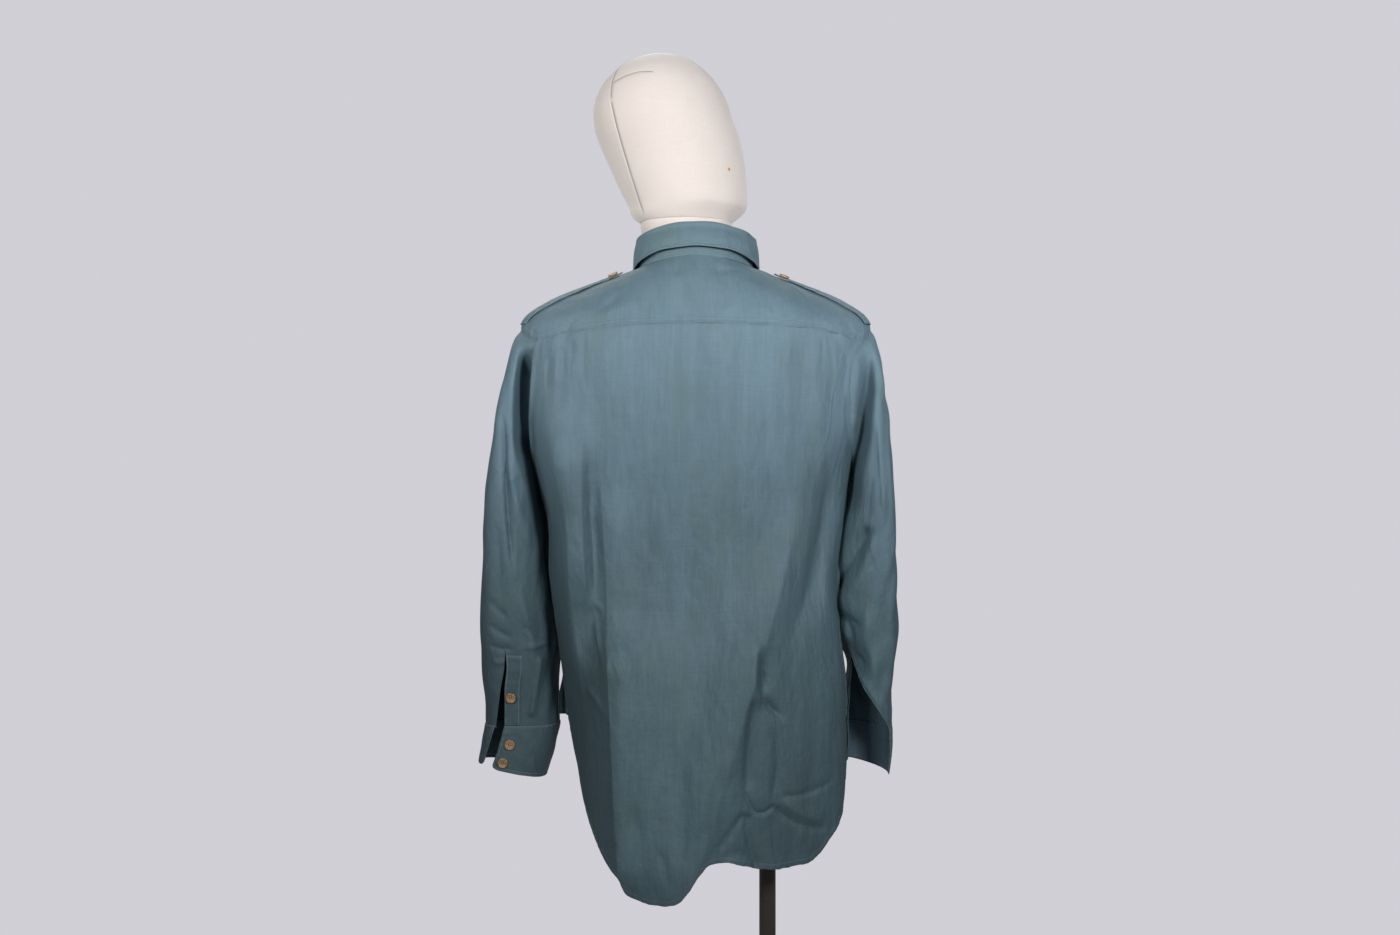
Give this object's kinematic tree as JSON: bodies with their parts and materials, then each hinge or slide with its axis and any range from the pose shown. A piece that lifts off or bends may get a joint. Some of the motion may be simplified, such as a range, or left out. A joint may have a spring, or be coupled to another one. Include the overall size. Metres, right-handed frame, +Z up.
{
  "type": "military shirt on a dress form",
  "caption": "Long-tailed military shirt with shoulder straps and open cuffs, hanging on a limbless linen dress form with head, pole and round base.",
  "frame": {"origin": "centre of the base plate's underside, on the floor", "axes": "+Z up, -Y the way the shirt's front faces, +X to the wearer's left"},
  "size_m": [0.5843, 0.38, 1.8105],
  "materials": {
    "shirt_cloth": "washed cotton sateen, faded grey-green with a blue cast",
    "button": "brown urea, half gloss",
    "linen": "undyed linen stretched over a hard form",
    "dark_metal": "dark brown-black enamel"
  },
  "bodies": {
    "root": {"back_panel": "shirt_cloth", "yoke": "shirt_cloth", "front_left": "shirt_cloth", "front_right": "shirt_cloth", "front_placket": "shirt_cloth", "collar_stand": "shirt_cloth", "collar_fall": "shirt_cloth", "sleeve_left": "shirt_cloth", "sleeve_right": "shirt_cloth", "sleeve_placket_left": "shirt_cloth", "sleeve_placket_right": "shirt_cloth", "cuff_left": "shirt_cloth", "cuff_right": "shirt_cloth", "shoulder_strap_left": "shirt_cloth", "shoulder_strap_right": "shirt_cloth", "front_button_1": "button", "front_button_2": "button", "front_button_3": "button", "front_button_4": "button", "front_button_5": "button", "front_button_6": "button", "collar_button": "button", "cuff_button_left_1": "button", "cuff_button_left_2": "button", "cuff_button_left_3": "button", "cuff_button_right_1": "button", "cuff_button_right_2": "button", "cuff_button_right_3": "button", "strap_button_left": "button", "strap_button_right": "button", "form_torso": "linen", "form_head": "linen", "form_pole": "dark_metal", "form_base": "dark_metal"}
  },
  "joints": []
}
